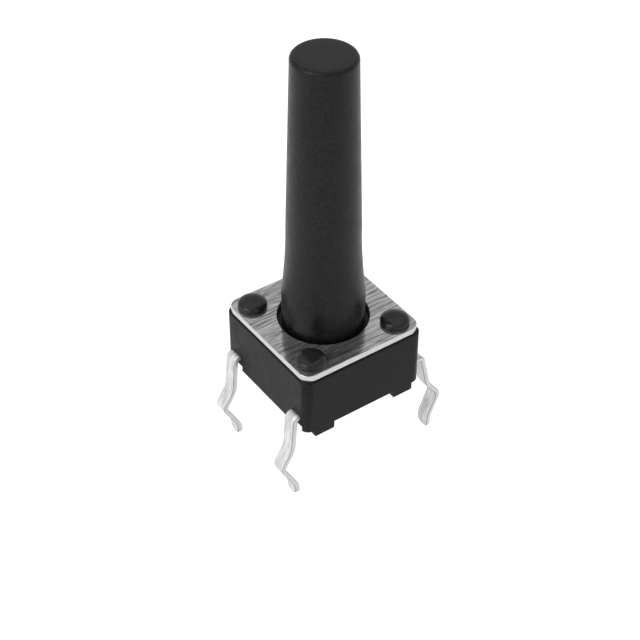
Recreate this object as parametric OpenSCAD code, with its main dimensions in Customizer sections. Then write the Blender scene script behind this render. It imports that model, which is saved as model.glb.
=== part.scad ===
// Tactile push button switch with a long stem, through-hole type, four kinked legs.
// The origin is the centre of the plane that the circuit board's top face takes.
// Z points up along the stem, the legs leave the two X sides, and all sizes are in millimetres.

/* [Housing] */
// Side of the square housing
body_w = 6; // [5.8:0.1:7]
// Height of the cover's top face above the circuit board
body_h = 3.4; // [3.3:0.1:4.3]
// Radius of the housing's upright edges
body_edge_r = 0.15; // [0.05:0.05:0.3]
// Height of the standing feet, and of the gap that they leave under the housing
foot_h = 0.35; // [0.25:0.05:0.55]
// Width of each foot along its face
foot_w = 1; // [0.5:0.05:1.1]
// Depth of each foot into the housing
foot_depth = 0.5; // [0.3:0.05:0.8]
// Distance from the housing's X side to the outer side of each foot
foot_inset = 0.46; // [0.4:0.02:0.8]
// Radius of each foot's lower corners
foot_edge_r = 0.08; // [0.02:0.02:0.12]
// Thinnest wall beside the round well that holds the dome and the stem's flange
well_wall = 0.7; // [0.6:0.05:0.8]
// Depth of the relief cut into the housing's side behind each leg
relief_depth = 0.3; // [0.1:0.05:0.4]
// Height of that relief above the housing's underside
relief_h = 0.25; // [0.1:0.05:0.3]
// Room between a leg's side and the side of its relief
relief_gap = 0.12; // [0.04:0.02:0.2]
// Diameter of the support holes that the mould leaves under the contact pads
support_hole_d = 0.6; // [0.4:0.05:0.8]

/* [Staked posts] */
// Distance from the housing's sides to the middle of each post
post_inset = 0.85; // [0.7:0.05:0.9]
// Diameter of the post inside the cover's hole
post_d = 0.8; // [0.5:0.05:0.9]
// Diameter of the head that was formed over the cover
post_head_d = 1.25; // [1:0.05:1.3]
// Height of the head above the cover
post_head_h = 0.3; // [0.25:0.05:0.6]
// Radius of the head's upper edge
post_head_r = 0.2; // [0.05:0.01:0.25]
// Room round each post in the cover's hole
post_gap = 0.03; // [0.01:0.01:0.06]

/* [Cover] */
// Thickness of the sheet cover
cover_t = 0.28; // [0.15:0.01:0.3]
// Distance from the housing's sides to the cover's edges
cover_inset = 0.05; // [0:0.01:0.1]
// Radius of the cover's corners
cover_corner_r = 0.5; // [0.2:0.05:0.7]
// Room round the stem in the cover's hole
stem_hole_gap = 0.2; // [0.1:0.01:0.22]

/* [Stem] */
// Height of the stem's tip above the circuit board
stem_h = 16; // [11:0.5:22]
// Radius of the edge round the tip
stem_tip_r = 0.18; // [0.05:0.01:0.3]
// How far the long taper brings each side in, from the neck up to the tip
taper_step = 0.215; // [0.05:0.005:0.4]
// How far the flare brings each side in, from the guide up to the neck
flare_step = 0.21; // [0.1:0.005:0.3]
// Height of the flare from the guide up to the neck
stem_flare_h = 3.3; // [2:0.1:4]
// Height above the cover of the straight guide that slides in it
stem_guide_h = 1.4; // [0.8:0.1:2]
// How far the flange that the cover holds back stands out past the guide
flange_lip = 0.46; // [0.36:0.02:0.5]
// Thickness of that flange
flange_t = 0.8; // [0.5:0.05:0.9]
// Room round the flange in the well
flange_gap = 0.08; // [0.03:0.01:0.1]
// Room between the flange and the cover with the stem up
flange_top_gap = 0.02; // [0.01:0.01:0.05]
// Diameter of the nub that presses the dome
nub_d = 1.2; // [0.8:0.1:1.6]
// Radius of the nub's lower edge
nub_edge_r = 0.15; // [0.05:0.05:0.3]
// Room between the nub and the dome with the stem up
nub_gap = 0.02; // [0.01:0.01:0.04]
// Travel of the stem from up to switched
travel = 0.25; // [0.15:0.05:0.35]

/* [Snap dome] */
// Thickness of the dome's spring sheet
dome_t = 0.06; // [0.04:0.01:0.1]
// Room round the dome in the well
dome_gap = 0.2; // [0.1:0.05:0.25]
// Room between the dome's rim and the contact pads that carry it
dome_seat_gap = 0.01; // [0.01:0.01:0.02]

/* [Contact frames] */
// Thickness of the contact sheet
leg_t = 0.2; // [0.15:0.01:0.26]
// Width of each leg
leg_w = 0.65; // [0.62:0.01:0.75]
// Distance from the housing's Y side to the middle of each leg
leg_inset = 0.75; // [0.7:0.05:0.85]
// Gap between the housing's side and the top of each leg on the -X side
standoff_left = 0.1; // [0.1:0.01:0.4]
// Gap between the housing's side and the top of each leg on the +X side
standoff_right = 0.35; // [0.1:0.01:0.4]
// Angle in degrees by which the legs on the -X side are sprung outwards
lean_left = 4.5; // [0:0.5:14]
// Angle in degrees by which the legs on the +X side are sprung outwards
lean_right = 12.5; // [0:0.5:14]
// Height of the contact sheet's top face where it leaves the housing
leg_exit_z = 1.06; // [1:0.02:1.2]
// Inner radius of the bend beside the housing
leg_bend_r = 0.1; // [0.05:0.01:0.14]
// Length of the legs below the circuit board's top face
leg_len = 3.5; // [3.3:0.1:4.5]
// Depth at which the leg turns out towards its knee
sway_depth = 0.8; // [0.5:0.05:0.9]
// Depth of the knee
knee_depth = 1.65; // [1.55:0.05:1.8]
// How far the knee stands out from the leg's upper part
knee_out = 0.46; // [0.4:0.02:0.6]
// Depth at which the leg turns back in line with its upper part
toe_depth = 3; // [2.9:0.05:3.1]
// How far the toe lies inside the line of the leg's upper part
toe_in = 0.4; // [0.3:0.02:0.44]
// Inner radius of the gentle bend above the knee
sway_r = 1; // [0.5:0.1:1.2]
// Inner radius of the knee
knee_r = 0.25; // [0.1:0.05:0.4]
// Inner radius of the bend above the toe
toe_r = 1.1; // [0.5:0.1:1.3]
// Radius of the corners of the leg's tip
leg_tip_r = 0.28; // [0.1:0.02:0.3]
// Width of the arms inside the housing
arm_w = 0.5; // [0.4:0.05:0.6]
// Diameter of each contact pad
pad_d = 0.9; // [0.7:0.05:1]
// Diameter of the raised land on each pad
land_d = 0.7; // [0.5:0.05:0.8]
// Height of the raised land above the well's floor
land_h = 0.1; // [0.05:0.01:0.15]
// Distance from the dome's rim in to the middle of each side pad
pad_inset = 0.3; // [0.2:0.02:0.32]
// Room between the contact sheet and the plastic moulded round it
mould_gap = 0.01; // [0.01:0.01:0.02]

/* [Hidden] */
$fn = 64;
overcut = 0.5;
bend_step = 10;
plastic_colour = "#33363a";
stem_colour = "#2d2f33";
cover_colour = "#b4b5b6";
dome_colour = "#d0cdc4";
contact_colour = "#dcdcda";

// Heights worked out from the sizes above
housing_top = body_h - cover_t;
strip_z = leg_exit_z - leg_t;
land_top = leg_exit_z + land_h;
dome_rim_z = land_top + dome_seat_gap;
dome_top = dome_rim_z + travel + dome_t;
nub_z = dome_top + nub_gap;
flange_top = housing_top - flange_top_gap;
flange_z = flange_top - flange_t;
guide_top = body_h + stem_guide_h;
neck_z = guide_top + stem_flare_h;

// Places and sizes in plan
post_at = body_w / 2 - post_inset;
foot_at = body_w / 2 - foot_inset - foot_w / 2;
cover_w = body_w - 2 * cover_inset;
well_r = body_w / 2 - well_wall;
flange_r = well_r - flange_gap;
guide_r = flange_r - flange_lip;
neck_r = guide_r - flare_step;
tip_r = neck_r - taper_step;
dome_r = well_r - dome_gap;
pad_at = dome_r - pad_inset;
leg_y = body_w / 2 - leg_inset;

// Corners of an upright leg's middle line as [how far out, z], from the housing to just past its tip
leg_corners = [
  [0, strip_z + leg_t / 2],
  [0, -sway_depth],
  [knee_out, -knee_depth],
  [-toe_in, -toe_depth],
  [-toe_in, -leg_len - leg_t]
];
leg_radii = [leg_bend_r, sway_r, knee_r, toe_r, 0];

// The same corners as [x, z] for a leg with the given gap and lean
function leg_line(standoff, lean) =
  let (top = leg_corners[0].y)
  [for (p = leg_corners)
    [body_w / 2 + standoff + leg_t / 2 + p.x + (top - p.y) * tan(lean), p.y]];

// The whole frame's middle line, from one tip through the housing to the other
frame_line = concat(
  [for (p = reversed(leg_line(standoff_left, lean_left))) [-p.x, p.y]],
  leg_line(standoff_right, lean_right)
);
frame_radii = concat(reversed(leg_radii), leg_radii);

// Width along X that holds both rows of legs
frame_span = 2 * max([for (p = frame_line) abs(p.x)]) + 2 * leg_t;

function unit(v) = v / norm(v);
function left_of(v) = [-v.y, v.x];
function way(line, i) = unit(line[i + 1] - line[i]);
function cross_2d(a, b) = a.x * b.y - a.y * b.x;

// Signed angle that the line turns by at its corner i, positive to the left
function turn_at(line, i) =
  sign(cross_2d(way(line, i - 1), way(line, i))) * acos(way(line, i - 1) * way(line, i));

// Centre of the bend at corner i for a middle line of the given radius
function bend_centre(line, i, radius) =
  line[i] + unit(way(line, i) - way(line, i - 1)) * radius / cos(turn_at(line, i) / 2);

// Points of one face of the sheet round the bend at corner i; side is 1 on the left, -1 on the right
function bend_points(line, i, inner_r, t, side) =
  let (
    turn = turn_at(line, i),
    radius = inner_r + t / 2,
    centre = bend_centre(line, i, radius),
    face_r = radius - sign(turn) * side * t / 2,
    heading = atan2(way(line, i - 1).y, way(line, i - 1).x),
    steps = ceil(abs(turn) / bend_step)
  )
  [for (k = [0 : steps])
    let (a = heading + turn * k / steps)
    centre - sign(turn) * face_r * left_of([cos(a), sin(a)])];

// Points of one whole face of the sheet, from the start of the line to its end
function face_points(line, radii, t, side) =
  let (end = len(line) - 1)
  concat(
    [line[0] + left_of(way(line, 0)) * side * t / 2],
    [for (i = [1 : end - 1]) each bend_points(line, i, radii[i], t, side)],
    [line[end] + left_of(way(line, end - 1)) * side * t / 2]
  );

function reversed(list) = [for (i = [len(list) - 1 : -1 : 0]) list[i]];

// Square with four rounded corners, as a flat outline
module rounded_square(w, r) {
  square([w, w - 2 * r], center = true);
  square([w - 2 * r, w], center = true);
  for (sx = [-1, 1], sy = [-1, 1])
    translate([sx * (w / 2 - r), sy * (w / 2 - r)]) circle(r);
}

// Rectangle from z = 0 up with its two lower corners rounded, as a flat outline
module round_footed(w, h, r) {
  translate([-w / 2, r]) square([w, h - r]);
  translate([-w / 2 + r, 0]) square([w - 2 * r, h]);
  for (s = [-1, 1])
    translate([s * (w / 2 - r), r]) circle(r);
}

// Half outline of a disc from r = 0 with its upper outer corner rounded
module domed_half(radius, h, r) {
  square([radius, h - r]);
  square([radius - r, h]);
  translate([radius - r, h - r]) intersection() {
    circle(r);
    square(r);
  }
}

// Side view of a strip of sheet that is bent along a line of corners
module bent_strip(line, radii, t) {
  polygon(concat(face_points(line, radii, t, 1), reversed(face_points(line, radii, t, -1))));
}

// The strip that makes two legs and the bar between them, cut off round at both tips
module leg_strip() {
  intersection() {
    rotate([90, 0, 0])
      linear_extrude(2 * leg_w, center = true)
        bent_strip(frame_line, frame_radii, leg_t);
    translate([0, 0, -leg_len])
      rotate([90, 0, 90])
        linear_extrude(frame_span, center = true)
          round_footed(leg_w, leg_len + body_h, leg_tip_r);
  }
}

// Outline of the bar inside the housing, seen from above, grown by g for its slot
module bar_plan(length, g = 0) {
  square([length, leg_w + 2 * g], center = true);
}

// Outline of the arm and pad that reach from the bar to the point (x, 0) in the well
module arm_plan(x, bar_y, g = 0) {
  reach = abs(bar_y) + leg_w / 2;
  translate([x, bar_y / 2 + sign(bar_y) * leg_w / 4])
    square([arm_w + 2 * g, reach + 2 * g], center = true);
  translate([x, 0]) circle(pad_d / 2 + g);
}

// One stamped frame: the leg strip, its arms and the raised land on each pad
module contact_frame(bar_y, pads) {
  translate([0, bar_y, 0]) leg_strip();
  translate([0, 0, strip_z])
    linear_extrude(leg_t)
      for (x = pads) arm_plan(x, bar_y);
  for (x = pads)
    translate([x, 0, leg_exit_z - leg_t / 2])
      cylinder(h = land_h + leg_t / 2, d = land_d);
}

// Room that the two frames take up in the moulded housing
module frame_slots() {
  translate([0, 0, strip_z - mould_gap])
    linear_extrude(leg_t + 2 * mould_gap) {
      for (y = [-leg_y, leg_y])
        translate([0, y]) bar_plan(body_w + 2 * overcut, mould_gap);
      for (x = [-pad_at, pad_at]) arm_plan(x, -leg_y, mould_gap);
      arm_plan(0, leg_y, mould_gap);
    }
}

// Relief in the housing's lower edge behind each leg
module leg_reliefs() {
  width = leg_w + 2 * relief_gap;
  for (sx = [-1, 1], sy = [-1, 1])
    translate([sx * (body_w / 2 - relief_depth), sy * leg_y - width / 2, foot_h - overcut])
      mirror([sx < 0 ? 1 : 0, 0, 0])
        cube([relief_depth + overcut, width, relief_h + overcut]);
}

// Four feet, flush with the two Y faces
module feet() {
  for (sx = [-1, 1], sy = [-1, 1])
    translate([sx * foot_at, sy * (body_w - foot_depth) / 2, 0])
      rotate([90, 0, 0])
        linear_extrude(foot_depth, center = true)
          round_footed(foot_w, foot_h + foot_edge_r, foot_edge_r);
}

// Four posts with heads formed over the cover
module staked_posts() {
  for (sx = [-1, 1], sy = [-1, 1])
    translate([sx * post_at, sy * post_at, 0]) {
      translate([0, 0, housing_top - post_d / 4])
        cylinder(h = cover_t + post_head_h / 2 + post_d / 4, d = post_d);
      translate([0, 0, body_h])
        rotate_extrude() domed_half(post_head_d / 2, post_head_h, post_head_r);
    }
}

module base() {
  color(plastic_colour)
    difference() {
      union() {
        translate([0, 0, foot_h])
          linear_extrude(housing_top - foot_h) rounded_square(body_w, body_edge_r);
        feet();
        staked_posts();
      }
      translate([0, 0, leg_exit_z])
        cylinder(h = housing_top - leg_exit_z + overcut, r = well_r);
      frame_slots();
      leg_reliefs();
      for (x = [-pad_at, 0, pad_at])
        translate([x, 0, foot_h - overcut])
          cylinder(h = strip_z - foot_h + overcut, d = support_hole_d);
    }
}

module cover() {
  color(cover_colour)
    translate([0, 0, housing_top])
      linear_extrude(cover_t)
        difference() {
          rounded_square(cover_w, cover_corner_r);
          circle(guide_r + stem_hole_gap);
          for (sx = [-1, 1], sy = [-1, 1])
            translate([sx * post_at, sy * post_at]) circle(post_d / 2 + post_gap);
        }
}

// Half outline of the flare, a hollow arc that leaves the neck upright and ends on the guide
module flare_half() {
  arc_r = (flare_step * flare_step + stem_flare_h * stem_flare_h) / (2 * flare_step);
  difference() {
    translate([0, guide_top]) square([guide_r, stem_flare_h]);
    translate([neck_r + arc_r, neck_z]) circle(arc_r, $fn = 256);
  }
}

// Half outline of the long tapered shaft with its rounded tip
module shaft_half() {
  shoulder = stem_h - 2 * stem_tip_r;
  polygon([[0, neck_z], [neck_r, neck_z], [tip_r, shoulder], [0, shoulder]]);
  translate([0, shoulder]) domed_half(tip_r, 2 * stem_tip_r, stem_tip_r);
}

module stem() {
  color(stem_colour)
    rotate_extrude() {
      shaft_half();
      flare_half();
      translate([0, flange_top]) square([guide_r, guide_top - flange_top]);
      translate([0, flange_z]) square([flange_r, flange_t]);
      translate([0, flange_z]) mirror([0, 1])
        domed_half(nub_d / 2, flange_z - nub_z, nub_edge_r);
    }
}

// Shallow cap of spring sheet whose rim stands on the two side pads
module snap_dome() {
  inner_r = (dome_r * dome_r + travel * travel) / (2 * travel);
  centre_z = dome_rim_z + travel - inner_r;
  color(dome_colour)
    intersection() {
      translate([0, 0, centre_z]) difference() {
        sphere(inner_r + dome_t, $fn = 128);
        sphere(inner_r, $fn = 128);
      }
      translate([0, 0, dome_rim_z]) cylinder(h = travel + 2 * dome_t, r = dome_r);
    }
}

module centre_contact_frame() {
  color(contact_colour) contact_frame(leg_y, [0]);
}

module ring_contact_frame() {
  color(contact_colour) contact_frame(-leg_y, [-pad_at, pad_at]);
}

base();
cover();
stem();
snap_dome();
centre_contact_frame();
ring_contact_frame();
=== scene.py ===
import math

import bmesh
import bpy
from mathutils import Matrix, Vector


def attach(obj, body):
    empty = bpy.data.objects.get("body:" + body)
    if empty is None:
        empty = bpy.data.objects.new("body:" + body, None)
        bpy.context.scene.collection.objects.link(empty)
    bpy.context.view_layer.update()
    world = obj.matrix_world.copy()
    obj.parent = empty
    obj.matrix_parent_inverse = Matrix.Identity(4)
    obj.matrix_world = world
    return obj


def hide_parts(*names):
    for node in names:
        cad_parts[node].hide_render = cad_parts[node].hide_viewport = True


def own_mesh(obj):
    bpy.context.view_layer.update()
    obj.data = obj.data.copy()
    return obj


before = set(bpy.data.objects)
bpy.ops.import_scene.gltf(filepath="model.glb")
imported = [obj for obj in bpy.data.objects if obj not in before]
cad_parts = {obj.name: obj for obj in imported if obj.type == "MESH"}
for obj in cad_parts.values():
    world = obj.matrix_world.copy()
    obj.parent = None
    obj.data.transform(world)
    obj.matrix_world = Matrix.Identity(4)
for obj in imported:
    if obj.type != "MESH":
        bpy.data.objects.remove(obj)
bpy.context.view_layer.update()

MM = 0.001
FLOOR_Z = -3.5

# Sizes of the housing in millimetres. Its upright corners and its top edge are rounder than in the CAD
# model. The posts are cut off inside the cover's holes, and more domed heads are joined to them there.
HOUSING_HALF, HOUSING_TOP, UPRIGHT_R, TOP_BREAK, HOUSING_ROUND = 3.0, 3.12, 0.4, 0.09, 0.035
POST_AT, POST_R, POST_CUT, POST_OVERLAP = 2.15, 0.405, 3.3, 0.1
HEAD_R, HEAD_TOP, HEAD_RIM, HEAD_FOOT_EDGE = 0.63, 3.76, 3.51, 0.03

# Sizes of the cover in millimetres
COVER_TOP, COVER_ROUND = 3.4, 0.03

# Sizes of the stem in millimetres, as in the CAD model but for the flange's rounded edges
STEM_TOP, STEM_TIP_EDGE = 16.0, 0.18
TIP_R, NECK_R, GUIDE_R, FLANGE_R, NUB_R = 1.335, 1.55, 1.76, 2.22, 0.6
NECK_Z, GUIDE_Z = 8.1, 4.8
FLANGE_TOP, FLANGE_Z, NUB_Z = 3.1, 2.3, 1.5
FLANGE_EDGE, NUB_EDGE = 0.05, 0.15

# Sizes of the snap dome in millimetres, as in the CAD model, and the share of its height left when pressed
DOME_R, DOME_RIM_Z, DOME_RISE, DOME_T, DOME_PRESSED = 2.1, 1.17, 0.25, 0.06, 0.25

# Sizes of the contact frames in millimetres, as in the CAD model but for the strips' rounded edges.
# A leg's corners are given as (how far out, height), from the housing's wall before it leans out.
SHEET_T, LEG_W, LEG_EDGE, LEG_TIP_R = 0.2, 0.65, 0.04, 0.28
WALL_X, BAR_Z, LEG_Y, LEG_END_Z = 3.0, 0.96, 2.25, -3.487
LEG_CORNERS = [(0.0, BAR_Z), (0.0, -0.8), (0.46, -1.65), (-0.4, -3.0), (-0.4, LEG_END_Z)]
LEG_RADII = [0.2, 1.1, 0.35, 1.2]
LEFT_LEG = {"standoff": 0.1, "lean": 4.5}
RIGHT_LEG = {"standoff": 0.35, "lean": 12.5}
ARM_W, PAD_R, PAD_X, LAND_R, LAND_TOP = 0.5, 0.45, 1.8, 0.35, 1.16

# Greatest distance in millimetres, and greatest turn in degrees, between two rows of a swept strip
ROW_STEP, ROW_TURN = 0.3, 5

# Tones of the heads, painted lighter than the housing as painted light, and the roughness and gloss of the
# plastic that heat has formed into heads
HEAD_PAINTED_LIGHT_LOW, HEAD_PAINTED_LIGHT_HIGH, MELTED_ROUGH, MELTED_GLOSS = 0.005, 0.016, 0.22, 0.45


# Camera, floor and light

def make_camera():
    """Camera fitted to the picture: it looks at a point on the stem's axis, from the left front."""
    azimuth, elevation, roll = (math.radians(a) for a in (-35.385, 40.844, 0.174))
    target, distance = Vector((0, 0, 6 * MM)), 65 * MM
    picture_px, focal_px = 640, 1582.3
    target_px = (323.5, 265.65)
    back = Vector((math.sin(azimuth) * math.cos(elevation),
                   -math.cos(azimuth) * math.cos(elevation),
                   math.sin(elevation)))
    right = Vector((math.cos(azimuth), math.sin(azimuth), 0))
    up = back.cross(right)
    cam_right = math.cos(roll) * right + math.sin(roll) * up
    cam_up = -math.sin(roll) * right + math.cos(roll) * up
    place = (target + back * distance
             - cam_right * (target_px[0] - picture_px / 2) * distance / focal_px
             + cam_up * (target_px[1] - picture_px / 2) * distance / focal_px)
    data = bpy.data.cameras.new("camera")
    data.sensor_width = 36
    data.sensor_fit = "HORIZONTAL"
    data.lens = focal_px / picture_px * data.sensor_width
    data.clip_start = 0.001
    data.clip_end = 20
    camera = bpy.data.objects.new("camera", data)
    turn = Matrix((cam_right, cam_up, back)).transposed().to_4x4()
    camera.matrix_world = Matrix.Translation(place) @ turn
    bpy.context.scene.collection.objects.link(camera)
    bpy.context.scene.camera = camera


def softbox(name, place, aim, size, watts):
    data = bpy.data.lights.new(name, "AREA")
    data.shape = "RECTANGLE"
    data.size, data.size_y = size
    data.energy = watts
    lamp = bpy.data.objects.new(name, data)
    lamp.location = Vector(place)
    lamp.rotation_euler = (Vector(aim) - Vector(place)).to_track_quat("-Z", "Y").to_euler()
    bpy.context.scene.collection.objects.link(lamp)


def map_range(nodes, low, high, out_low, out_high):
    """A new node that maps one range of numbers onto another."""
    node = nodes.new("ShaderNodeMapRange")
    limits = {"From Min": low, "From Max": high, "To Min": out_low, "To Max": out_high}
    for socket, limit in limits.items():
        node.inputs[socket].default_value = limit
    return node


def make_light():
    """A white sweep that is dimmer overhead, a softbox at the left and one above."""
    world = bpy.data.worlds.new("studio")
    world.use_nodes = True
    nodes, links = world.node_tree.nodes, world.node_tree.links
    fade_start, fade_end, full, dimmed = 0.35, 0.6, 1.02, 0.7
    place = nodes.new("ShaderNodeTexCoord")
    split = nodes.new("ShaderNodeSeparateXYZ")
    fade = map_range(nodes, fade_start, fade_end, full, dimmed)
    nodes["Background"].inputs["Color"].default_value = (1, 1, 1, 1)
    links.new(place.outputs["Generated"], split.inputs["Vector"])
    links.new(split.outputs["Z"], fade.inputs["Value"])
    links.new(fade.outputs["Result"], nodes["Background"].inputs["Strength"])
    bpy.context.scene.world = world
    softbox("key_left", place=(-0.28, 0.0, 0.22), aim=(0, 0, 0.006), size=(0.26, 0.26), watts=0.7)
    softbox("top", place=(0.02, 0.05, 0.42), aim=(0, 0, 0), size=(0.5, 0.5), watts=0.5)


def make_floor():
    """White light table under the legs' tips."""
    reach, level = 4.0, FLOOR_Z * MM
    tone, glow = 0.42, 0.74
    mesh = bpy.data.meshes.new("floor")
    mesh.from_pydata([(-reach, -reach, level), (reach, -reach, level),
                      (reach, reach, level), (-reach, reach, level)], [], [(0, 1, 2, 3)])
    floor = bpy.data.objects.new("floor", mesh)
    bpy.context.scene.collection.objects.link(floor)
    paint = bpy.data.materials.new("light_table")
    paint.use_nodes = True
    shader = paint.node_tree.nodes["Principled BSDF"]
    shader.inputs["Base Color"].default_value = (tone, tone, tone, 1)
    shader.inputs["Roughness"].default_value = 1.0
    shader.inputs["Specular IOR Level"].default_value = 0.0
    shader.inputs["Emission Color"].default_value = (1, 1, 1, 1)
    shader.inputs["Emission Strength"].default_value = glow
    mesh.materials.append(paint)


# Materials

class Paint:
    """A node material that is built from left to right in the part's own coordinates."""

    def __init__(self, name, **sockets):
        self.material = bpy.data.materials.new(name)
        self.material.use_nodes = True
        self.tree = self.material.node_tree
        self.shader = self.tree.nodes["Principled BSDF"]
        for socket, value in sockets.items():
            self.shader.inputs[socket.replace("_", " ")].default_value = value
        self.part = self.tree.nodes.new("ShaderNodeTexCoord")

    def noise(self, scale, detail=2.0):
        """Noise from 0 to 1 with about so many features in a metre along X, Y and Z."""
        stretch = self.tree.nodes.new("ShaderNodeMapping")
        stretch.inputs["Scale"].default_value = scale
        self.tree.links.new(self.part.outputs["Object"], stretch.inputs["Vector"])
        node = self.tree.nodes.new("ShaderNodeTexNoise")
        node.inputs["Scale"].default_value = 1.0
        node.inputs["Detail"].default_value = detail
        self.tree.links.new(stretch.outputs["Vector"], node.inputs["Vector"])
        return node.outputs["Fac"]

    def facing(self, axis):
        """How far the surface faces along one of the part's axes, 0 to 1."""
        split = self.tree.nodes.new("ShaderNodeSeparateXYZ")
        self.tree.links.new(self.part.outputs["Normal"], split.inputs["Vector"])
        return self.math("ABSOLUTE", split.outputs[axis])

    def height(self):
        """How high the surface lies in the part, in metres."""
        split = self.tree.nodes.new("ShaderNodeSeparateXYZ")
        self.tree.links.new(self.part.outputs["Object"], split.inputs["Vector"])
        return split.outputs["Z"]

    def math(self, operation, *values):
        node = self.tree.nodes.new("ShaderNodeMath")
        node.operation = operation
        for socket, value in zip(node.inputs, values):
            if isinstance(value, (int, float)):
                socket.default_value = value
            else:
                self.tree.links.new(value, socket)
        return node.outputs["Value"]

    def remap(self, value, low, high, out_low, out_high):
        node = map_range(self.tree.nodes, low, high, out_low, out_high)
        self.tree.links.new(value, node.inputs["Value"])
        return node.outputs["Result"]

    def ramp(self, value, low, high):
        """A grey between two tones."""
        node = self.tree.nodes.new("ShaderNodeValToRGB")
        for element, tone in zip(node.color_ramp.elements, (low, high)):
            element.color = (*grey(tone), 1)
        self.tree.links.new(value, node.inputs["Fac"])
        return node.outputs["Color"]

    def mix(self, factor, first, second):
        node = self.tree.nodes.new("ShaderNodeMix")
        node.data_type = "RGBA"
        sockets = {socket.identifier: socket for socket in (*node.inputs, *node.outputs)}
        for value, socket in ((factor, "Factor_Float"), (first, "A_Color"), (second, "B_Color")):
            self.tree.links.new(value, sockets[socket])
        return sockets["Result_Color"]

    def bump(self, value, depth):
        node = self.tree.nodes.new("ShaderNodeBump")
        node.inputs["Distance"].default_value = depth
        node.inputs["Strength"].default_value = 1.0
        self.tree.links.new(value, node.inputs["Height"])
        return node.outputs["Normal"]

    def finish(self, **links):
        for socket, output in links.items():
            self.tree.links.new(output, self.shader.inputs[socket.replace("_", " ")])
        return self.material


def grey(tone):
    """A nearly neutral colour, a little cooler than grey."""
    return (tone, tone * 1.005, tone * 1.015)


def plastic(name, low, high, rough, grain, gloss, melted_with_painted_light_above=None):
    """Dark moulded plastic with a faint cloud in its tone and roughness, flecks and a fine grain.

    Its tones run from low to high, and grain is the depth of the bump in millimetres. What lies higher than
    the height given for the heads, in millimetres, was formed by heat, which made it glossier; it also gets
    a lighter tone, which is painted light.
    """
    paint = Paint(name, IOR=1.33, Specular_IOR_Level=gloss)
    fleck_share, cloud_rough = 0.7, 0.05
    cloud = paint.remap(paint.noise((2600, 2600, 1500), detail=3.0), 0.3, 0.7, 0, 1)
    grit = paint.noise((11000, 11000, 11000))
    fleck = paint.remap(grit, 0.35, 0.65, 0, 1)
    tone = paint.math("MULTIPLY_ADD", fleck, fleck_share, paint.math("MULTIPLY", cloud, 1 - fleck_share))
    colour = paint.ramp(tone, low, high)
    roughness = paint.remap(cloud, 0, 1, rough - cloud_rough, rough + cloud_rough)
    if melted_with_painted_light_above is not None:
        # Above that height: more gloss from heat, and a lighter tone that is painted light
        melted_with_painted_light = paint.math("GREATER_THAN", paint.height(), melted_with_painted_light_above * MM)
        colour = paint.mix(melted_with_painted_light, colour, paint.ramp(tone, HEAD_PAINTED_LIGHT_LOW, HEAD_PAINTED_LIGHT_HIGH))
        roughness = paint.math("MULTIPLY_ADD", melted_with_painted_light, MELTED_ROUGH - rough, roughness)
        paint.finish(Specular_IOR_Level=paint.math("MULTIPLY_ADD", melted_with_painted_light, MELTED_GLOSS - gloss, gloss))
    return paint.finish(
        Base_Color=colour,
        Roughness=roughness,
        Normal=paint.bump(grit, grain * MM))


def brushed_cover():
    """Brushed steel: lines along X on top, and a plainer cut edge all round, painted brighter as a painted
    highlight.
    """
    paint = Paint("cover_sheet", Metallic=0.9)
    fine = paint.noise((2000, 24000, 24000))
    broad = paint.noise((500, 8000, 8000))
    lines = paint.remap(paint.math("ADD", fine, broad), 0.75, 1.25, 0, 1)
    top = paint.ramp(lines, 0.18, 0.66)
    # The cut edge's plainer tone is also painted brighter than the top, as a painted highlight
    cut = paint.ramp(paint.noise((9000, 9000, 2000)), 0.44, 0.58)
    on_top = paint.remap(paint.facing("Z"), 0.6, 0.8, 0, 1)
    return paint.finish(
        Base_Color=paint.mix(on_top, cut, top),
        Roughness=paint.remap(broad, 0.3, 0.7, 0.09, 0.15),
        Normal=paint.bump(lines, 0.0012 * MM))


def plated_contacts():
    """Bright plated sheet: streaks along the strip, a plainer cut edge, and painted shade as dark lines
    along the rounded corners where they meet.
    """
    paint = Paint("contact_sheet", Metallic=0.8)
    streak = paint.noise((1400, 24000, 1400), detail=3.0)
    patch = paint.noise((1500, 3000, 1500))
    both = paint.math("MULTIPLY_ADD", streak, 1.5, paint.math("MULTIPLY", patch, 0.5))
    lines = paint.remap(both, 0.75, 1.25, 0, 1)
    face = paint.ramp(lines, 0.40, 0.70)
    cut = paint.ramp(patch, 0.46, 0.62)
    sideways = paint.facing("Y")
    on_edge = paint.remap(sideways, 0.5, 0.8, 0, 1)
    sheet = paint.mix(on_edge, face, cut)
    # Painted shade: the rounded corners between the face and the cut edge are painted dark
    to_corner = paint.math("ABSOLUTE", paint.math("SUBTRACT", sideways, 0.55))
    painted_edge_shade = paint.remap(to_corner, 0.42, 0.2, 0, 1)
    return paint.finish(
        Base_Color=paint.mix(painted_edge_shade, sheet, paint.ramp(patch, 0.16, 0.26)),
        Roughness=paint.remap(patch, 0.3, 0.7, 0.36, 0.48),
        Normal=paint.bump(streak, 0.004 * MM))


def spring_sheet():
    """Bright spring steel with faint rolling lines."""
    paint = Paint("dome_spring", Metallic=1.0)
    lines = paint.noise((250, 9000, 9000))
    return paint.finish(
        Base_Color=paint.ramp(paint.remap(lines, 0.3, 0.7, 0, 1), 0.55, 0.72),
        Roughness=paint.remap(lines, 0.3, 0.7, 0.22, 0.3),
        Normal=paint.bump(lines, 0.001 * MM))


# Meshes

def smooth(mesh):
    """Shades a mesh smooth, but for its sharp edges."""
    mesh.shade_smooth()
    mesh.set_sharp_from_angle(angle=math.radians(35))


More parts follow.
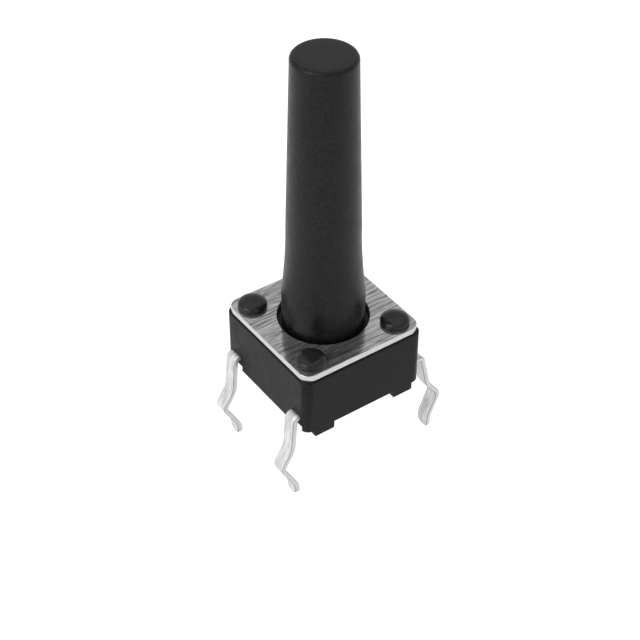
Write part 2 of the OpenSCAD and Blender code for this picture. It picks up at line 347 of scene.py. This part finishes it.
def applied(mesh, *modifiers):
    """The mesh after modifiers, each given as (type, its values)."""
    holder = bpy.data.objects.new("holder", mesh)
    bpy.context.scene.collection.objects.link(holder)
    for kind, values in modifiers:
        modifier = holder.modifiers.new(kind.lower(), kind)
        for name, value in values.items():
            setattr(modifier, name, value)
    made = bpy.data.meshes.new_from_object(holder.evaluated_get(bpy.context.evaluated_depsgraph_get()))
    bpy.data.objects.remove(holder)
    return made


def combined(operation, mesh, others):
    """One closed mesh: a solid with others joined to it or cut by it, by Boolean operation."""
    tools = []
    for other in others:
        tool = bpy.data.objects.new("tool", other)
        bpy.context.scene.collection.objects.link(tool)
        tools.append(tool)
    made = applied(mesh, *[("BOOLEAN", {"operation": operation, "solver": "EXACT", "object": tool})
                           for tool in tools])
    for tool in tools:
        bpy.data.objects.remove(tool)
    return made


def flat_faces(mesh):
    """Joins a mesh's triangles again into its flat faces."""
    bm = bmesh.new()
    bm.from_mesh(mesh)
    bmesh.ops.remove_doubles(bm, verts=bm.verts, dist=1e-7)
    bmesh.ops.dissolve_limit(bm, angle_limit=math.radians(0.5), verts=bm.verts, edges=bm.edges)
    bm.to_mesh(mesh)
    bm.free()
    return mesh


def cad_copy(node):
    """A copy of a CAD node's mesh, made of its flat faces."""
    return flat_faces(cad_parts[node].data.copy())


def rounded(mesh, width):
    """A copy of the mesh with its sharp edges rounded over a width in millimetres."""
    made = applied(mesh, ("BEVEL", {
        "width": width * MM, "segments": 3, "limit_method": "ANGLE", "angle_limit": math.radians(40),
        "use_clamp_overlap": True, "miter_outer": "MITER_ARC"}))
    smooth(made)
    return made


def weighted(mesh):
    """A copy whose large faces keep their own shading beside rounded edges."""
    return applied(mesh, ("WEIGHTED_NORMAL", {"weight": 80, "keep_sharp": True}))


def lathe(outline, turns):
    """A solid of revolution about Z from (radius, height) points in millimetres.

    The first and the last point lie on the axis, and the outer side comes first.
    """
    rings, faces = [], []
    points = [(0, 0, outline[0][1] * MM)]
    for radius, height in outline[1:-1]:
        rings.append(len(points))
        for k in range(turns):
            a = 2 * math.pi * k / turns
            points.append((radius * math.cos(a) * MM, radius * math.sin(a) * MM, height * MM))
    points.append((0, 0, outline[-1][1] * MM))
    for k in range(turns):
        n = (k + 1) % turns
        faces.append((0, rings[0] + k, rings[0] + n))
        for above, below in zip(rings, rings[1:]):
            faces.append((above + k, below + k, below + n, above + n))
        faces.append((len(points) - 1, rings[-1] + n, rings[-1] + k))
    mesh = bpy.data.meshes.new("lathe")
    mesh.from_pydata(points, [], faces)
    smooth(mesh)
    return mesh


def arc(cx, cz, r, start, end, steps):
    """Points on a circle in a plane, angles in degrees."""
    angles = [math.radians(start + (end - start) * k / steps) for k in range(steps + 1)]
    return [(cx + r * math.cos(a), cz + r * math.sin(a)) for a in angles]


def stem_outline():
    """Half outline of the stem, from the middle of its tip down to its nub.

    The flare is a hollow arc that leaves the tapered neck upright and ends on the guide.
    """
    tip_ring, taper_steps, flare_steps = 0.9, 10, 16
    rise, drop = GUIDE_R - NECK_R, NECK_Z - GUIDE_Z
    flare_r = (rise * rise + drop * drop) / (2 * rise)
    shoulder = STEM_TOP - 2 * STEM_TIP_EDGE
    points = [(0, STEM_TOP), (tip_ring, STEM_TOP)]
    points += arc(TIP_R - STEM_TIP_EDGE, STEM_TOP - STEM_TIP_EDGE, STEM_TIP_EDGE, 90, 0, 8)
    for k in range(taper_steps + 1):
        t = k / taper_steps
        points.append((TIP_R + (NECK_R - TIP_R) * t, shoulder + (NECK_Z - shoulder) * t))
    for k in range(1, flare_steps + 1):
        z = NECK_Z - drop * k / flare_steps
        points.append((NECK_R + flare_r - math.sqrt(flare_r ** 2 - (NECK_Z - z) ** 2), z))
    points += [(GUIDE_R, FLANGE_TOP)]
    points += arc(FLANGE_R - FLANGE_EDGE, FLANGE_TOP - FLANGE_EDGE, FLANGE_EDGE, 90, 0, 3)
    points += arc(FLANGE_R - FLANGE_EDGE, FLANGE_Z + FLANGE_EDGE, FLANGE_EDGE, 0, -90, 3)
    points += [(NUB_R, FLANGE_Z)]
    points += arc(NUB_R - NUB_EDGE, NUB_Z + NUB_EDGE, NUB_EDGE, 0, -90, 5)
    return points + [(0, NUB_Z)]


def dome_outline():
    """A thin spherical cap: its outer side from the middle to the rim, then its inner side back."""
    inner_r = (DOME_R ** 2 + DOME_RISE ** 2) / (2 * DOME_RISE)
    centre_z = DOME_RIM_Z + DOME_RISE - inner_r
    steps = 16
    radii = [DOME_R * k / steps for k in range(steps + 1)]
    outer, inner = ([(r, centre_z + math.sqrt(sphere_r ** 2 - r ** 2)) for r in radii]
                    for sphere_r in (inner_r + DOME_T, inner_r))
    return outer + inner[::-1]


class BentLine:
    """Middle line of a bent strip in the XZ plane: straight runs joined by arcs of the given radii."""

    def __init__(self, corners, radii):
        self.runs = []
        self.length = 0.0
        place = Vector(corners[0])
        for here, after, radius in zip(corners[1:], corners[2:], radii):
            here, after = Vector(here), Vector(after)
            heading = math.atan2(*(here - place).yx)
            turn = math.atan2(*(after - here).yx) - heading
            turn = (turn + math.pi) % (2 * math.pi) - math.pi
            reach = radius * math.tan(abs(turn) / 2)
            self.add(place, heading, (here - place).length - reach, 0.0)
            self.add(here - (here - place).normalized() * reach, heading,
                     radius * abs(turn), math.copysign(1 / radius, turn))
            place = here + (after - here).normalized() * reach
        last = Vector(corners[-1])
        self.add(place, math.atan2(*(last - place).yx), (last - place).length, 0.0)

    def add(self, place, heading, length, curvature):
        self.runs.append((self.length, place, heading, length, curvature))
        self.length += length

    def at(self, s):
        """Point and heading at a distance along the line."""
        start, place, heading, _, curvature = [run for run in self.runs if run[0] <= max(s, 0)][-1]
        s -= start
        if curvature == 0:
            return place + s * Vector((math.cos(heading), math.sin(heading))), heading
        turned = heading + curvature * s
        return place + Vector((math.sin(turned) - math.sin(heading),
                               math.cos(heading) - math.cos(turned))) / curvature, turned

    def stations(self):
        """Distances at which a swept strip needs a row of points."""
        found = []
        for start, _, _, length, curvature in self.runs:
            count = math.ceil(max(length / ROW_STEP, math.degrees(length * abs(curvature)) / ROW_TURN))
            found += [start + length * k / count for k in range(count)]
        return found + [self.length]


def bent_sheet(line, middle_y, width, thick, edge_r, tip_r):
    """A strip of sheet swept along its middle line, with rounded edges and two round tips.

    A row is (distance along the line, how far its edge faces back, how far it faces sideways), and a level
    of the section is (how far it is set in from the edge, height above the middle).
    """
    tip_steps, edge_steps = 8, 3
    tip = []
    for k in range(tip_steps + 1):
        a = math.radians(90 * k / tip_steps)
        tip.append((tip_r * (1 - math.cos(a)), -math.cos(a), math.sin(a)))
    clear = tip_r * 1.05
    rows = tip + [(s, 0.0, 1.0) for s in line.stations() if clear < s < line.length - clear]
    rows += [(line.length - s, -back, side) for s, back, side in reversed(tip)]
    levels = [(edge_r * (1 - math.sin(a)), thick / 2 - edge_r * (1 - math.cos(a)))
              for a in (math.radians(90 * k / edge_steps) for k in range(edge_steps + 1))]
    levels += [(inset, -height) for inset, height in reversed(levels)]
    bm = bmesh.new()
    grid = []
    for s, back, side in rows:
        half = width / 2 - tip_r + tip_r * side
        column = []
        for inset, height in levels:
            place, heading = line.at(s - inset * back)
            place = place + height * Vector((-math.sin(heading), math.cos(heading)))
            reach = half - inset * side
            column.append([bm.verts.new((place.x * MM, (middle_y + way * reach) * MM, place.y * MM))
                           for way in (1, -1)])
        grid.append(column)
    for one, two in zip(grid, grid[1:]):
        bm.faces.new((one[0][0], one[0][1], two[0][1], two[0][0]))
        bm.faces.new((one[-1][1], one[-1][0], two[-1][0], two[-1][1]))
        for level in range(len(levels) - 1):
            for way, flip in ((0, 1), (1, -1)):
                loop = (one[level][way], two[level][way], two[level + 1][way], one[level + 1][way])
                bm.faces.new(loop[::flip])
    for column, flip in ((grid[0], 1), (grid[-1], -1)):
        for above, below in zip(column, column[1:]):
            bm.faces.new((above[0], below[0], below[1], above[1])[::flip])
    bmesh.ops.recalc_face_normals(bm, faces=bm.faces)
    mesh = bpy.data.meshes.new("bent_sheet")
    bm.to_mesh(mesh)
    bm.free()
    return mesh


def loft(outlines):
    """A closed solid through flat outlines in plan: (height, points) in millimetres, lowest first."""
    count = len(outlines[0][1])
    points = [(x * MM, y * MM, z * MM) for z, outline in outlines for x, y in outline]
    faces = [tuple(reversed(range(count))), tuple(range(len(points) - count, len(points)))]
    for row in range(0, len(points) - count, count):
        faces += [(row + k, row + (k + 1) % count, row + count + (k + 1) % count, row + count + k)
                  for k in range(count)]
    mesh = bpy.data.meshes.new("loft")
    mesh.from_pydata(points, [], faces)
    return mesh


def slab(outline, low, high):
    return loft([(low, outline), (high, outline)])


def rounded_square(half, radius):
    corner_steps = 10
    points = []
    for quarter, (x, y) in enumerate(((1, 1), (-1, 1), (-1, -1), (1, -1))):
        start = 90 * quarter
        points += arc(x * (half - radius), y * (half - radius), radius, start, start + 90, corner_steps)
    return points


def head_mesh(x, y):
    """A post's end, formed into a domed head over the cover by heat."""
    steps, flatness, fullness = 14, 0.8, 0.85
    root = POST_CUT - POST_OVERLAP
    outline = []
    for k in range(steps + 1):
        a = math.radians(90 * k / steps)
        out, up = math.sin(a) ** flatness, abs(math.cos(a)) ** fullness
        outline.append((HEAD_R * out, HEAD_RIM + (HEAD_TOP - HEAD_RIM) * up))
    outline += [(HEAD_R, COVER_TOP + HEAD_FOOT_EDGE), (HEAD_R - HEAD_FOOT_EDGE, COVER_TOP)]
    outline += [(POST_R, COVER_TOP), (POST_R, root), (0, root)]
    mesh = lathe(outline, turns=64)
    mesh.transform(Matrix.Translation((x * MM, y * MM, 0)))
    return mesh


def housing_mesh():
    """The CAD housing with rounder upright corners, a small slope along its top edge and domed heads."""
    below_feet = -1
    full = rounded_square(HOUSING_HALF, UPRIGHT_R)
    small = rounded_square(HOUSING_HALF - TOP_BREAK, UPRIGHT_R - TOP_BREAK)
    room = loft([(below_feet, full), (HOUSING_TOP - TOP_BREAK, full),
                 (HOUSING_TOP, small), (POST_CUT, small)])
    body = rounded(flat_faces(combined("INTERSECT", cad_copy("base"), [room])), HOUSING_ROUND)
    heads = [head_mesh(x, y) for x in (-POST_AT, POST_AT) for y in (-POST_AT, POST_AT)]
    mesh = combined("UNION", body, heads)
    smooth(mesh)
    return weighted(mesh)


def cover_mesh():
    """The CAD cover with rounded edges."""
    return weighted(rounded(cad_copy("cover"), COVER_ROUND))


def disc(x, radius):
    """Points on a circle in plan that stands on the X axis."""
    sides = 48
    return [(x + radius * math.cos(2 * math.pi * k / sides), radius * math.sin(2 * math.pi * k / sides))
            for k in range(sides)]


def leg_corners(standoff, lean):
    """Corners of one leg's middle line as (distance from the axis, height)."""
    slope = math.tan(math.radians(lean))
    return [(WALL_X + standoff + SHEET_T / 2 + out + (BAR_Z - z) * slope, z) for out, z in LEG_CORNERS]


def contact_sheet_mesh(side, pads):
    """One stamped frame: the strip with its two legs, and the arms with pads that reach into the well."""
    left = [(-x, z) for x, z in reversed(leg_corners(**LEFT_LEG))]
    line = BentLine(left + leg_corners(**RIGHT_LEG), LEG_RADII[::-1] + LEG_RADII)
    strip = bent_sheet(line, side * LEG_Y, LEG_W, SHEET_T, LEG_EDGE, LEG_TIP_R)
    low, high = BAR_Z - SHEET_T / 2, BAR_Z + SHEET_T / 2
    additions = []
    for x in pads:
        arm = [(x - ARM_W / 2, 0), (x + ARM_W / 2, 0), (x + ARM_W / 2, LEG_Y), (x - ARM_W / 2, LEG_Y)]
        additions.append(slab([(x, side * y) for x, y in arm][::side], low, high))
        additions.append(slab(disc(x, PAD_R), low, high))
        additions.append(slab(disc(x, LAND_R), BAR_Z, LAND_TOP))
    mesh = combined("UNION", strip, additions)
    smooth(mesh)
    return mesh


# Pieces

def add_piece(name, mesh, body, material, node):
    """A visible piece that rides on a body in place of a CAD node."""
    mesh.name = name
    mesh.materials.clear()
    mesh.materials.append(material)
    piece = bpy.data.objects.new(name, mesh)
    bpy.context.scene.collection.objects.link(piece)
    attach(piece, body)
    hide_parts(node)
    return piece


make_camera()
make_floor()
make_light()

housing_paint = plastic("housing_plastic", low=0.001, high=0.008, rough=0.48, grain=0.006, gloss=0.25,
                        melted_with_painted_light_above=COVER_TOP)
stem_paint = plastic("stem_plastic", low=0.000, high=0.009, rough=0.40, grain=0.008, gloss=0.36)
contact_paint = plated_contacts()
add_piece("housing_moulding", housing_mesh(), "housing", housing_paint, "base")
add_piece("cover_plate", cover_mesh(), "housing", brushed_cover(), "cover")
add_piece("stem_moulding", lathe(stem_outline(), turns=192), "button", stem_paint, "stem")
add_piece("centre_contact_sheet", contact_sheet_mesh(1, [0]), "housing",
          contact_paint, "centre_contact_frame")
add_piece("ring_contact_sheet", contact_sheet_mesh(-1, [-PAD_X, PAD_X]), "housing",
          contact_paint, "ring_contact_frame")
dome = add_piece("spring_disc", lathe(dome_outline(), turns=96), "housing",
                 spring_sheet(), "snap_dome")
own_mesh(dome)

view = bpy.context.scene.view_settings
view.view_transform = "Standard"
view.look = "None"
